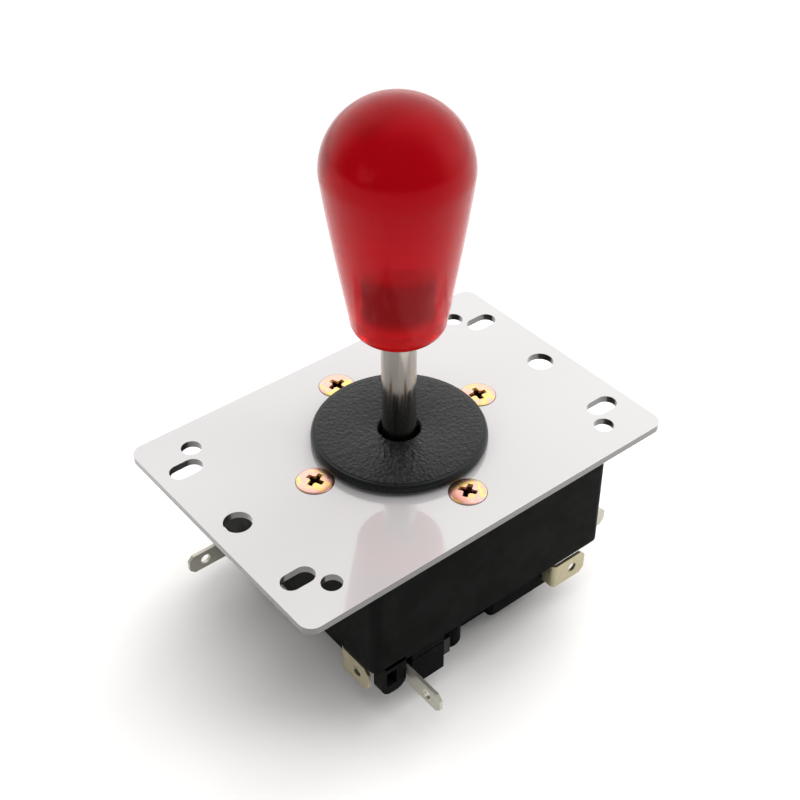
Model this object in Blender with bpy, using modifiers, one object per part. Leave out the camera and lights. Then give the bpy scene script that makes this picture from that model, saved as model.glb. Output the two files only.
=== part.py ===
"""Arcade joystick: a bat-top lever on a white mounting plate, with a moulded housing,
a gimbal pivot and four lever microswitches under it.

Frame: metres, +Z up along the stick, +X along the plate's long side, origin on the stick's
axis at the face that the unit stands on. Sizes below are in millimetres.
"""

import math

import bmesh
import bpy
from mathutils import Matrix, Vector

MM = 0.001
QUARTER = math.pi / 2
SIDES = ("front", "right", "back", "left")

# Driving dimensions, in millimetres. Heights are above the face that the unit stands on.
PLATE_LENGTH = 95.25
PLATE_WIDTH = 65.0
PLATE_THICK = 1.6
PLATE_TOP = 42.0
PLATE_CORNER = 3.0
PLATE_BORE = 7.6
SLOT_X = 41.0
SLOT_Y = 20.0
SLOT_LENGTH = 7.5
SLOT_WIDTH = 4.5
PILOT_X = 36.6
PILOT_Y = 25.0
PILOT_RADIUS = 2.2
MID_X = 41.4
MID_RADIUS = 3.0

SCREW_CIRCLE = 22.3
SCREW_HEAD = 4.1
SCREW_DOME = 0.5
SCREW_SHANK = 2.0
SCREW_END = 31.0

HOUSING_HALF = 31.7
HOUSING_BASE = 16.4
HOUSING_TOP = PLATE_TOP - PLATE_THICK - 0.3
HOUSING_CORNER = 2.4
CAVITY_RADIUS = 16.0
CAVITY_FLOOR = 21.0
NECK_RADIUS = 7.0

PIVOT = 28.0
RING_OUTER = 15.0
RING_INNER = 10.5
RING_HALF = 4.0
PIN_RADIUS = 1.5
PIN_HOLE = 1.65

SHAFT_RADIUS = 3.7
SHAFT_LOWER = 3.1
SHAFT_THREAD = 3.0
SHAFT_STEP = 14.7
SHAFT_END = 1.2
SHAFT_SHOULDER = 72.6
SHAFT_TIP = 85.5

HANDLE_BASE = 70.4
HANDLE_TOP = 121.6
HANDLE_RADIUS = 14.85
HANDLE_WIDEST = 107.0
HANDLE_NECK = 9.95
HANDLE_FILLET = 3.6
HANDLE_BORE = 4.9
HANDLE_BORE_TOP = 88.3
INSERT_LOW = 73.4
INSERT_HIGH = 88.0

WASHER_RADIUS = 19.0
WASHER_HOLE = 4.5
WASHER_BASE = 42.8
WASHER_THICK = 1.9

GATE_HALF = 21.5
GATE_THICK = 5.5
GATE_OPENING = 7.0
POST_X = -4.5
POST_Y = -21.0
POST_RADIUS = 3.3

# One microswitch, as it lies on the front side: +X along its length, -Y away from the stick.
SWITCH_MID = 10.95
SWITCH_THICK = 10.3
SWITCH_START = 3.5
SWITCH_END = 31.3
SWITCH_BASE = 27.2
SWITCH_FACE = 11.3
NOTCH_START = 20.6
NOTCH_DEPTH = 22.0
HINGE_START = 28.0
HINGE_DEPTH = 13.4
COVER_THICK = 2.2
LEVER_PIVOT = (29.6, 12.3)
LEVER_REACH = -3.2
LEVER_THICK = 0.5
LEVER_WIDTH = 4.6
PLUNGER_AT = 10.4
PLUNGER_RADIUS = 1.6
PLUNGER_LENGTH = 5.0
ACTUATOR_RADIUS = 7.6
CONTACT_GAP = 0.55
PEGS = ((6.6, 24.0), (24.9, 14.9))
COM_LINE = 23.2
COM_TIP = 42.0
NO_ROOT = 19.0
NO_LINE = 30.65
NO_TIP = 28.0
COM_WIDTH = 4.8
NO_WIDTH = 6.3
BLADE_THICK = 0.8
BLADE_HOLE = 1.2


def clear_scene():
    for obj in list(bpy.data.objects):
        bpy.data.objects.remove(obj)


def new_collection(name):
    collection = bpy.data.collections.new(name)
    bpy.context.scene.collection.children.link(collection)
    return collection


clear_scene()
PARTS = new_collection("arcade_joystick")
CUTTERS = new_collection("cutters")


def material(name, color, roughness, metallic=0.0, transmission=0.0):
    """A Principled material with the part's colour, roughness and metallic value."""
    made = bpy.data.materials.new(name)
    made.use_nodes = True
    shader = made.node_tree.nodes["Principled BSDF"]
    shader.inputs["Base Color"].default_value = (*color, 1.0)
    shader.inputs["Roughness"].default_value = roughness
    shader.inputs["Metallic"].default_value = metallic
    shader.inputs["Transmission Weight"].default_value = transmission
    return made


MATERIALS = {
    "red_plastic": material("red_plastic", (0.42, 0.02, 0.03), 0.08, transmission=0.8),
    "white_paint": material("white_paint", (0.80, 0.79, 0.77), 0.25),
    "steel": material("steel", (0.62, 0.61, 0.59), 0.28, 1.0),
    "zinc_yellow": material("zinc_yellow", (0.80, 0.68, 0.42), 0.25, 1.0),
    "spring_steel": material("spring_steel", (0.45, 0.45, 0.46), 0.35, 1.0),
    "brass": material("brass", (0.70, 0.55, 0.28), 0.35, 1.0),
    "tinned_brass": material("tinned_brass", (0.62, 0.60, 0.52), 0.35, 1.0),
    "silver_brass": material("silver_brass", (0.76, 0.72, 0.58), 0.35, 1.0),
    "black_housing": material("black_housing", (0.018, 0.019, 0.019), 0.42),
    "black_switch": material("black_switch", (0.022, 0.022, 0.023), 0.38),
    "black_washer": material("black_washer", (0.025, 0.026, 0.026), 0.50),
    "nylon": material("nylon", (0.75, 0.74, 0.70), 0.45),
    "red_plunger": material("red_plunger", (0.45, 0.05, 0.03), 0.40),
    "felt": material("felt", (0.05, 0.05, 0.05), 0.95),
}


def add_object(name, mesh, finish=None, at=(0.0, 0.0, 0.0), turn=(0.0, 0.0, 0.0)):
    """Links an object. With no finish it is a cutter or a shape that is joined to another."""
    obj = bpy.data.objects.new(name, mesh)
    obj.location = Vector(at) * MM
    obj.rotation_euler = turn
    if finish is None:
        CUTTERS.objects.link(obj)
        obj.hide_render = True
        obj.display_type = "WIRE"
    else:
        PARTS.objects.link(obj)
        mesh.materials.clear()
        mesh.materials.append(MATERIALS[finish])
    return obj


def box_mesh(name, size):
    bm = bmesh.new()
    bmesh.ops.create_cube(bm, size=1.0)
    bmesh.ops.scale(bm, vec=Vector(size) * MM, verts=bm.verts)
    mesh = bpy.data.meshes.new(name)
    bm.to_mesh(mesh)
    bm.free()
    return mesh


def box(name, low, high, finish=None):
    """A box between two corners, with its origin at its centre."""
    low, high = Vector(low), Vector(high)
    return add_object(name, box_mesh(name, high - low), finish, (low + high) / 2)


def cylinder(name, radius, depth, at, turn=(0.0, 0.0, 0.0), finish=None, segments=24, top=None):
    """A cylinder, or a cone with another radius at its top, centred on at."""
    bm = bmesh.new()
    bmesh.ops.create_cone(
        bm,
        cap_ends=True,
        segments=segments,
        radius1=radius * MM,
        radius2=(radius if top is None else top) * MM,
        depth=depth * MM,
    )
    mesh = bpy.data.meshes.new(name)
    bm.to_mesh(mesh)
    bm.free()
    smooth(mesh)
    return add_object(name, mesh, finish, at, turn)


def smooth(mesh, angle=35):
    mesh.shade_smooth()
    mesh.set_sharp_from_angle(angle=math.radians(angle))


def turned(name, profile, finish=None, steps=40, closed=False, at=(0.0, 0.0, 0.0)):
    """A Screw of a profile of (radius, height) that runs down its outer side.

    A closed profile makes a ring. An open one starts and ends on the axis.
    """
    mesh = bpy.data.meshes.new(name)
    points = [(radius * MM, 0.0, height * MM) for radius, height in profile]
    edges = [(i, i + 1) for i in range(len(points) - 1)]
    if closed:
        edges.append((len(points) - 1, 0))
    mesh.from_pydata(points, edges, [])
    obj = add_object(name, mesh, finish, at)
    screw = obj.modifiers.new("Turn", "SCREW")
    screw.steps = steps
    screw.render_steps = steps
    screw.use_merge_vertices = True
    screw.merge_threshold = 0.00001
    screw.use_smooth_shade = True
    return obj


def arc(centre, radius, start, end, steps):
    """Points on a circular arc, from start to end in degrees."""
    angles = [math.radians(start + (end - start) * i / steps) for i in range(steps + 1)]
    return [
        (centre[0] + radius * math.cos(a), centre[1] + radius * math.sin(a)) for a in angles
    ]


def rounded_rectangle(half_x, half_y, radius, steps=5):
    points = []
    for sign_x, sign_y, start in ((1, 1, 0), (-1, 1, 90), (-1, -1, 180), (1, -1, 270)):
        centre = (sign_x * (half_x - radius), sign_y * (half_y - radius))
        points += arc(centre, radius, start, start + 90, steps)
    return points


def slot_outline(length, width, steps=6):
    half = (length - width) / 2
    return arc((half, 0), width / 2, -90, 90, steps) + arc((-half, 0), width / 2, 90, 270, steps)


def plate_of(name, outline, thick, at, finish=None, turn=(0.0, 0.0, 0.0)):
    """A flat outline with a thickness, centred on at, as a mesh that Booleans can take."""
    curve = bpy.data.curves.new(name, "CURVE")
    curve.dimensions = "2D"
    curve.fill_mode = "BOTH"
    curve.extrude = thick / 2 * MM
    spline = curve.splines.new("POLY")
    spline.points.add(len(outline) - 1)
    for point, (x, y) in zip(spline.points, outline):
        point.co = (x * MM, y * MM, 0.0, 1.0)
    spline.use_cyclic_u = True
    guide = bpy.data.objects.new(name + "_outline", curve)
    CUTTERS.objects.link(guide)
    mesh = bpy.data.meshes.new_from_object(
        guide.evaluated_get(bpy.context.evaluated_depsgraph_get())
    )
    bpy.data.objects.remove(guide)
    mesh.name = name
    bm = bmesh.new()
    bm.from_mesh(mesh)
    bmesh.ops.remove_doubles(bm, verts=bm.verts, dist=0.000001)
    bmesh.ops.recalc_face_normals(bm, faces=bm.faces)
    bm.to_mesh(mesh)
    bm.free()
    smooth(mesh)
    return add_object(name, mesh, finish, at, turn)


def boolean(obj, other, operation="DIFFERENCE"):
    modifier = obj.modifiers.new(other.name, "BOOLEAN")
    modifier.operation = operation
    modifier.object = other
    return obj


def cut(obj, *cutters):
    for cutter in cutters:
        boolean(obj, cutter)
    return obj


def join(obj, *others):
    for other in others:
        boolean(obj, other, "UNION")
    return obj


def bevel(obj, width, segments=2, angle=50):
    modifier = obj.modifiers.new("Edges", "BEVEL")
    modifier.width = width * MM
    modifier.segments = segments
    modifier.limit_method = "ANGLE"
    modifier.angle_limit = math.radians(angle)
    return obj


def quarter_point(x, y, side):
    """The point (x, y) of the front side, turned round the stick to the given side."""
    turned_point = Matrix.Rotation(QUARTER * side, 2) @ Vector((x, y))
    return turned_point.x, turned_point.y


def to_side(obj, side):
    """Turns a piece made for the front side round the stick's axis."""
    x, y = quarter_point(obj.location.x, obj.location.y, side)
    obj.location = (x, y, obj.location.z)
    obj.rotation_euler = (
        Matrix.Rotation(QUARTER * side, 3, "Z") @ obj.rotation_euler.to_matrix()
    ).to_euler()
    return obj


def empty(name, at, parent=None):
    """A guide that marks a joint's centre. It isn't a node."""
    made = bpy.data.objects.new(name, None)
    made.location = Vector(at) * MM
    made.empty_display_size = 10 * MM
    PARTS.objects.link(made)
    if parent:
        attach(made, parent)
    return made


def attach(child, parent):
    """Parents without moving the child."""
    bpy.context.view_layer.update()
    child.parent = parent
    child.matrix_parent_inverse = parent.matrix_world.inverted()


def mounting_plate():
    mid = PLATE_TOP - PLATE_THICK / 2
    outline = rounded_rectangle(PLATE_LENGTH / 2, PLATE_WIDTH / 2, PLATE_CORNER)
    plate = plate_of("mounting_plate", outline, PLATE_THICK, (0, 0, mid), "white_paint")
    deep = PLATE_THICK + 2
    cut(plate, cylinder("cut_plate_bore", PLATE_BORE, deep, (0, 0, mid), segments=32))
    for sx in (-1, 1):
        for sy in (-1, 1):
            at = (sx * SLOT_X, sy * SLOT_Y, mid)
            slot = plate_of(
                f"cut_slot_{sx}_{sy}", slot_outline(SLOT_LENGTH, SLOT_WIDTH), deep, at
            )
            at = (sx * PILOT_X, sy * PILOT_Y, mid)
            hole = cylinder(f"cut_pilot_{sx}_{sy}", PILOT_RADIUS, deep, at, segments=16)
            cut(plate, slot, hole)
        at = (sx * MID_X, 0, mid)
        cut(plate, cylinder(f"cut_mid_{sx}", MID_RADIUS, deep, at, segments=20))
    for side in range(4):
        x, y = quarter_point(0, -SCREW_CIRCLE, side)
        flare = SCREW_HEAD + 0.25
        sink = cylinder(
            f"cut_sink_{side}", flare - PLATE_THICK - 0.1, PLATE_THICK + 0.2,
            (x, y, mid), segments=20, top=flare + 0.1,
        )
        cut(plate, sink)


def plate_screws():
    """Four oval-head cross-recess screws, on the plate's two centre lines."""
    under = PLATE_TOP - 1.5
    crown = PLATE_TOP + SCREW_DOME
    profile = [
        (0, crown), (SCREW_HEAD * 0.6, crown - 0.12),
        (SCREW_HEAD, PLATE_TOP + 0.1), (SCREW_HEAD, PLATE_TOP - 0.05),
        (SCREW_SHANK, under), (SCREW_SHANK, SCREW_END + 0.5), (SCREW_SHANK - 0.5, SCREW_END),
        (0, SCREW_END),
    ]
    for side, name in enumerate(SIDES):
        x, y = quarter_point(0, -SCREW_CIRCLE, side)
        screw = turned(f"plate_screw_{name}", profile, "zinc_yellow", steps=18, at=(x, y, 0))
        for k in range(2):
            wing = add_object(
                f"cut_recess_{name}_{k}", box_mesh("recess", (4.4, 0.95, 1.6)), None,
                (x, y, crown - 0.4), (0, 0, math.radians(20) + k * QUARTER),
            )
            cut(screw, wing)


def square_nuts():
    """Nuts held in pockets of the housing, under the plate screws."""
    for side, name in enumerate(SIDES):
        x, y = quarter_point(0, -SCREW_CIRCLE, side)
        nut = box(f"square_nut_{name}", (x - 3.5, y - 3.5, 33.4), (x + 3.5, y + 3.5, 36.2), "steel")
        cut(nut, cylinder(f"cut_nut_{name}", SCREW_SHANK + 0.3, 6, (x, y, 34.8), segments=16))


def housing_shell():
    """The moulded body under the plate, with a round well for the pivot."""
    height = HOUSING_TOP - HOUSING_BASE
    mid = (HOUSING_TOP + HOUSING_BASE) / 2
    outline = rounded_rectangle(HOUSING_HALF, HOUSING_HALF, HOUSING_CORNER, 4)
    shell = plate_of("housing", outline, height, (0, 0, mid), "black_housing")
    depth = HOUSING_TOP + 2 - CAVITY_FLOOR
    well = cylinder("cut_well", CAVITY_RADIUS, depth, (0, 0, CAVITY_FLOOR + depth / 2), segments=36)
    neck = cylinder("cut_neck", NECK_RADIUS, 12, (0, 0, HOUSING_BASE + 3), segments=28)
    axle = cylinder("cut_axle", PIN_HOLE, 39.6, (0, 0, PIVOT), (0, QUARTER, 0), segments=14)
    cut(shell, well, neck, axle)
    for side in range(4):
        x, y = quarter_point(0, -SCREW_CIRCLE, side)
        hole = cylinder(f"cut_screw_{side}", SCREW_SHANK + 0.3, 12, (x, y, 36.5), segments=16)
        pocket = box(f"cut_nut_pocket_{side}", (-3.8, -26.2, 33.1), (3.8, -15.0, 36.5))
        cut(shell, hole, to_side(pocket, side))

    overlap = 1.0
    for side in range(4):
        x, y = quarter_point(POST_X, POST_Y, side)
        top = HOUSING_BASE + overlap
        low = GATE_THICK + 0.3
        at = (x, y, (top + low) / 2)
        join(shell, cylinder(f"join_post_{side}", POST_RADIUS, top - low, at, segments=16))
        cut(shell, cylinder(f"cut_post_{side}", 1.4, 8, (x, y, low + 2.5), segments=12))
        for k, (along, out) in enumerate(PEGS):
            x, y = quarter_point(along, -out, side)
            at = (x, y, (top + 8.4) / 2)
            join(shell, cylinder(f"join_peg_{side}_{k}", 1.3, top - 8.4, at, segments=12))
    for side in (0, 2):
        lug = plate_of(f"join_lug_{side}", lug_outline(), 2.8, (-27.05, -30.3, 0), None, (QUARTER, 0, 0))
        window = box(f"cut_window_{side}", (-28.9, -33, 11.2), (-26.3, -27, 15.3))
        join(shell, to_side(lug, side))
        cut(shell, to_side(window, side))


def lug_outline():
    """The corner lug's outline in X and Z, about its own centre line, with a rounded foot."""
    half = 3.1
    foot = 8.8
    round_foot = arc((half - 2.4, foot + 2.4), 2.4, 0, -90, 4)
    far_foot = arc((-half + 2.4, foot + 2.4), 2.4, -90, -180, 4)
    return [(half, HOUSING_BASE + 1.0)] + round_foot + far_foot + [(-half, HOUSING_BASE + 1.0)]


def gate_plate():
    """The square restrictor plate that the unit stands on, with four screw lugs."""
    mid = GATE_THICK / 2
    outline = rounded_rectangle(GATE_HALF, GATE_HALF, 2.5, 3)
    plate = plate_of("restrictor_plate", outline, GATE_THICK, (0, 0, mid), "black_housing")
    opening = rounded_rectangle(GATE_OPENING, GATE_OPENING, 2.4, 3)
    for side in range(4):
        x, y = quarter_point(POST_X, POST_Y, side)
        join(plate, cylinder(f"join_lug_round_{side}", 3.7, GATE_THICK, (x, y, mid), segments=20))
    cut(plate, plate_of("cut_gate_opening", opening, GATE_THICK + 4, (0, 0, mid)))
    for side, name in enumerate(SIDES):
        x, y = quarter_point(POST_X, POST_Y, side)
        through = cylinder(f"cut_gate_hole_{side}", 1.4, 12, (x, y, mid), segments=14)
        counterbore = cylinder(f"cut_gate_head_{side}", 2.7, 4.8, (x, y, 0), segments=20)
        cut(plate, through, counterbore)
        profile = [
            (0, 9.6), (0.7, 9.6), (1.1, 9.0), (1.1, 2.1), (2.4, 2.1), (2.4, 1.1), (1.9, 0.5), (0, 0.5),
        ]
        screw = turned(f"gate_screw_{name}", profile, "steel", steps=14, at=(x, y, 0))
        for k in range(2):
            wing = add_object(
                f"cut_gate_recess_{name}_{k}", box_mesh("recess", (2.6, 0.6, 1.6)), None,
                (x, y, 0.4), (0, 0, k * QUARTER),
            )
            cut(screw, wing)


def gimbal(centre_x, centre_y):
    """The pivot: a ring that tips about X in the housing, and a block that tips about Y in it."""
    low = PIVOT - RING_HALF
    high = PIVOT + RING_HALF
    edge = 0.8
    profile = [
        (RING_INNER, high), (RING_OUTER - edge, high), (RING_OUTER, high - edge),
        (RING_OUTER, low + edge), (RING_OUTER - edge, low), (RING_INNER, low),
    ]
    ring = turned("gimbal_ring", profile, "nylon", steps=30, closed=True)
    cut(ring, cylinder("cut_ring_x", PIN_HOLE, 40, (0, 0, PIVOT), (0, QUARTER, 0), segments=16))
    cut(ring, cylinder("cut_ring_y", PIN_HOLE, 40, (0, 0, PIVOT), (QUARTER, 0, 0), segments=16))
    attach(ring, centre_x)

    for sign, name in ((-1, "left"), (1, "right")):
        at = (sign * 15.25, 0, PIVOT)
        cylinder(f"trunnion_pin_{name}", PIN_RADIUS, 8.5, at, (0, QUARTER, 0), "steel", 16)

    bore = SHAFT_RADIUS + 0.3
    profile = [
        (bore, 33.0), (6.6, 33.0), (8.0, 31.4), (8.0, 24.6), (6.6, 23.2), (bore, 23.2),
    ]
    block = turned("pivot_block", profile, "nylon", steps=26, closed=True)
    cut(block, cylinder("cut_block_y", PIN_HOLE, 40, (0, 0, PIVOT), (QUARTER, 0, 0), segments=16))
    cross = cylinder("cross_pin", PIN_RADIUS, 29.0, (0, 0, PIVOT), (QUARTER, 0, 0), "steel", 16)
    seat = turned(
        "spring_seat",
        [(bore, 35.6), (5.2, 35.6), (5.2, 34.5), (8.2, 34.5), (8.2, 33.3), (bore, 33.3)],
        "nylon", steps=24, closed=True,
    )
    for piece in (block, cross, seat, return_spring()):
        attach(piece, centre_y)


def return_spring():
    """A short conical coil between the spring seat and the plate."""
    wire = 0.55
    turns = 2.5
    low, high = 34.5 + wire + 0.25, 39.2 - wire
    wide, narrow = 7.2, 5.9
    steps = 14
    count = int(turns * steps)
    curve = bpy.data.curves.new("return_spring", "CURVE")
    curve.dimensions = "3D"
    curve.bevel_depth = wire * MM
    curve.bevel_resolution = 1
    curve.use_fill_caps = True
    spline = curve.splines.new("POLY")
    spline.points.add(count)
    for i, point in enumerate(spline.points):
        part = i / count
        angle = 2 * math.pi * turns * part
        radius = wide + (narrow - wide) * part
        height = low + (high - low) * part
        point.co = (
            radius * math.cos(angle) * MM, radius * math.sin(angle) * MM, height * MM, 1.0
        )
    spring = bpy.data.objects.new("return_spring", curve)
    curve.materials.append(MATERIALS["spring_steel"])
    PARTS.objects.link(spring)
    return spring


def shaft():
    """The turned steel stick, with a threaded tip, a step and a clip groove."""
    groove_top, groove_low = 7.15, 6.45
    profile = [
        (0, SHAFT_TIP), (SHAFT_THREAD - 0.6, SHAFT_TIP), (SHAFT_THREAD, SHAFT_TIP - 0.6),
        (SHAFT_THREAD, SHAFT_SHOULDER), (SHAFT_RADIUS - 0.4, SHAFT_SHOULDER),
        (SHAFT_RADIUS, SHAFT_SHOULDER - 0.4), (SHAFT_RADIUS, SHAFT_STEP),
        (SHAFT_LOWER, SHAFT_STEP), (SHAFT_LOWER, groove_top), (2.4, groove_top),
        (2.4, groove_low), (SHAFT_LOWER, groove_low), (SHAFT_LOWER, SHAFT_END + 0.6),
        (SHAFT_LOWER - 0.6, SHAFT_END), (0, SHAFT_END),
    ]
    stick = turned("shaft", profile, "steel", steps=24)
    cut(stick, cylinder("cut_shaft_y", PIN_HOLE, 20, (0, 0, PIVOT), (QUARTER, 0, 0), segments=16))
    return stick


def handle_outline():
    """The bat top's side from the crown down: half an ellipse, a long taper and a rounded foot."""
    crown = HANDLE_TOP - HANDLE_WIDEST
    foot_top = HANDLE_BASE + HANDLE_FILLET
    dome = [
        (HANDLE_RADIUS * math.sin(a), HANDLE_WIDEST + crown * math.cos(a))
        for a in (QUARTER * i / 7 for i in range(8))
    ]
    taper = []
    for i in range(1, 6):
        part = i / 5
        radius = HANDLE_RADIUS - (HANDLE_RADIUS - HANDLE_NECK) * part**1.14
        taper.append((radius, HANDLE_WIDEST + (foot_top - HANDLE_WIDEST) * part))
    centre = (HANDLE_NECK - HANDLE_FILLET, foot_top)
    return dome + taper + arc(centre, HANDLE_FILLET, 0, -90, 4)[1:]


def handle_pieces():
    bore = [(HANDLE_BORE, HANDLE_BASE), (HANDLE_BORE, HANDLE_BORE_TOP), (0, HANDLE_BORE_TOP)]
    bat = turned("bat_top_handle", handle_outline() + bore, "red_plastic", steps=32)
    inner = SHAFT_THREAD + 0.15
    outer = HANDLE_BORE - 0.3
    groove = (INSERT_LOW + INSERT_HIGH) / 2
    profile = [
        (inner, INSERT_HIGH), (outer, INSERT_HIGH), (outer, groove + 0.9), (outer - 0.5, groove),
        (outer, groove - 0.9), (outer, INSERT_LOW), (inner, INSERT_LOW),
    ]
    insert = turned("handle_insert", profile, "brass", steps=20, closed=True)
    return bat, insert


def dust_washer():
    top = WASHER_BASE + WASHER_THICK
    edge = 0.7
    profile = [
        (WASHER_HOLE, top - 0.25), (WASHER_HOLE + 0.25, top), (WASHER_RADIUS - edge, top),
        (WASHER_RADIUS - 0.15, top - edge), (WASHER_RADIUS, WASHER_BASE + 0.3),
        (WASHER_RADIUS - 0.3, WASHER_BASE), (WASHER_HOLE, WASHER_BASE),
    ]
    turned("dust_washer", profile, "black_washer", steps=44, closed=True)
    pad = [(8.0, 42.65), (15.5, 42.65), (15.5, 42.15), (8.0, 42.15)]
    turned("felt_slip_ring", pad, "felt", steps=30, closed=True)


def actuator():
    """The crowned collar that pushes the switch levers."""
    half = 3.5
    bulge = 12.0
    heights = [half - 0.6 - (2 * half - 1.2) * i / 4 for i in range(5)]
    side = [
        (ACTUATOR_RADIUS - (h * h) / (2 * bulge), SWITCH_MID + h) for h in heights
    ]
    bore = SHAFT_LOWER + 0.3
    profile = (
        [(bore, SWITCH_MID + half), (6.4, SWITCH_MID + half)]
        + side
        + [(6.4, SWITCH_MID - half), (bore, SWITCH_MID - half)]
    )
    return turned("actuator", profile, "nylon", steps=32, closed=True)


def e_clip():
    outline = arc((0, 0), 4.9, 40, 320, 14) + arc((0, 0), 2.7, 320, 40, 10)
    return plate_of("e_clip", outline, 0.5, (0, 0, 6.8), "spring_steel")


def lever_face(along):
    """The outward distance of the lever's inner face at a place along the switch."""
    contact = ACTUATOR_RADIUS + CONTACT_GAP
    slope = (10.6 - contact) / LEVER_PIVOT[0]
    return contact + slope * along


def switch_case(side, name):
    """The case and its cover, with a notch for the side terminal and a corner for the hinge."""
    low = SWITCH_MID - SWITCH_THICK / 2
    high = SWITCH_MID + SWITCH_THICK / 2
    split = high - COVER_THICK
    corner = 1.2
    outline = (
        arc((SWITCH_START + corner, -SWITCH_BASE + corner), corner, 180, 270, 3)
        + [
            (NOTCH_START, -SWITCH_BASE), (NOTCH_START, -NOTCH_DEPTH), (SWITCH_END, -NOTCH_DEPTH),
            (SWITCH_END, -HINGE_DEPTH), (HINGE_START, -HINGE_DEPTH), (HINGE_START, -SWITCH_FACE),
        ]
        + arc((SWITCH_START + corner, -SWITCH_FACE - corner), corner, 90, 180, 3)
    )
    made = []
    for label, bottom, top in (("case", low, split - 0.15), ("cover", split + 0.15, high)):
        at = (0, 0, (bottom + top) / 2)
        body = plate_of(f"switch_{label}_{name}", outline, top - bottom, at, "black_switch")
        to_side(body, side)
        for k, (along, out) in enumerate(PEGS):
            x, y = quarter_point(along, -out, side)
            hole = cylinder(
                f"cut_{label}_{name}_{k}", 1.6, 14, (x, y, SWITCH_MID), segments=14
            )
            cut(body, hole)
        made.append(body)
    depth = 7.5
    x, y = quarter_point(PLUNGER_AT, -SWITCH_FACE - depth / 2 + 0.5, side)
    turn = (QUARTER, 0, QUARTER * side)
    bore = cylinder(
        f"cut_plunger_{name}", PLUNGER_RADIUS + 0.3, depth, (x, y, SWITCH_MID - 1.2), turn, segments=16
    )
    cut(made[0], bore)


def switch_lever(side, name):
    """A bent strip whose foot turns in the case's corner. Its origin is on the hinge."""
    along, out = LEVER_PIVOT
    heel = 10.6
    inner = [(LEVER_REACH, lever_face(LEVER_REACH)), (along + 0.4, lever_face(along + 0.4))]
    outline = [
        (inner[0][0] - along, out - inner[0][1]),
        (inner[1][0] - along, out - inner[1][1]),
        (0.4, out - heel - 1.2),
        (0.4, -0.5),
        (-0.4, -0.5),
        (-0.4, out - heel - 1.0),
        (-0.9, out - lever_face(along - 0.9) - LEVER_THICK),
        (inner[0][0] - along, out - inner[0][1] - LEVER_THICK),
    ]
    lever = plate_of(
        f"switch_lever_{name}", outline, LEVER_WIDTH, (along, -out, SWITCH_MID - 1.2), "steel"
    )
    to_side(lever, side)


def switch_plunger(side, name):
    start = lever_face(PLUNGER_AT) + LEVER_THICK + 0.3
    x, y = quarter_point(PLUNGER_AT, -start - PLUNGER_LENGTH / 2, side)
    turn = (QUARTER, 0, QUARTER * side)
    plunger = cylinder(
        f"switch_plunger_{name}", PLUNGER_RADIUS, PLUNGER_LENGTH, (x, y, SWITCH_MID - 1.2), turn,
        "red_plunger", 16,
    )
    bevel(plunger, 0.3, 1)


def blade_trim(obj, name, side, tip, line, hole_at, width):
    """Cuts the wire hole and the tip's two corners from a terminal blade."""
    x, y = quarter_point(hole_at, -line, side)
    turn = (QUARTER, 0, QUARTER * side)
    cut(obj, cylinder(f"cut_hole_{name}", BLADE_HOLE, 4, (x, y, SWITCH_MID), turn, segments=16))
    for sign in (-1, 1):
        x, y = quarter_point(tip, -line, side)
        corner = add_object(
            f"cut_corner_{name}_{sign}", box_mesh("corner", (1.8, 4, 1.8)), None,
            (x, y, SWITCH_MID + sign * width / 2),
        )
        corner.rotation_euler = (
            Matrix.Rotation(QUARTER * side, 3, "Z") @ Matrix.Rotation(QUARTER / 2, 3, "Y")
        ).to_euler()
        cut(obj, corner)


def terminals(side, name):
    """The common blade that leaves the notch endways, and the open-contact blade at the base."""
    half = BLADE_THICK / 2
    start = NOTCH_START + 0.1
    middle = ((start + COM_TIP) / 2, -COM_LINE, SWITCH_MID)
    common = add_object(
        f"terminal_common_{name}", box_mesh("common", (COM_TIP - start, BLADE_THICK, COM_WIDTH)),
        "tinned_brass", middle,
    )
    to_side(common, side)
    blade_trim(common, f"common_{name}", side, COM_TIP, COM_LINE, COM_TIP - 4.2, COM_WIDTH)

    root = SWITCH_BASE + 0.1
    outline = [
        (NO_ROOT - half, -root), (NO_ROOT - half, -NO_LINE + 0.6), (NO_ROOT + 0.2, -NO_LINE - half),
        (NO_TIP, -NO_LINE - half), (NO_TIP, -NO_LINE + half), (NO_ROOT + 1.1, -NO_LINE + half),
        (NO_ROOT + half, -NO_LINE + 0.8), (NO_ROOT + half, -root),
    ]
    contact = plate_of(
        f"terminal_open_{name}", outline, NO_WIDTH, (0, 0, SWITCH_MID), "silver_brass"
    )
    to_side(contact, side)
    blade_trim(contact, f"open_{name}", side, NO_TIP, NO_LINE, NO_TIP - 3.8, NO_WIDTH)


def assemble():
    tilt_x = empty("tilt_x_axis", (0, 0, PIVOT))
    tilt_y = empty("tilt_y_axis", (0, 0, PIVOT), tilt_x)
    mounting_plate()
    plate_screws()
    square_nuts()
    housing_shell()
    gate_plate()
    gimbal(tilt_x, tilt_y)
    for piece in (shaft(), *handle_pieces(), actuator(), e_clip()):
        attach(piece, tilt_y)
    dust_washer()
    for side, name in enumerate(SIDES):
        switch_case(side, name)
        switch_lever(side, name)
        switch_plunger(side, name)
        terminals(side, name)


assemble()
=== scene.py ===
"""Looks for the arcade joystick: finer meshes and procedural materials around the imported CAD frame.

Lengths in the shape functions are in millimetres, in the CAD frame: +Z up the stick, origin on its
axis at the underside of the restrictor plate.
"""

import math

import bmesh
import bpy
from mathutils import Matrix, Vector


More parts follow.
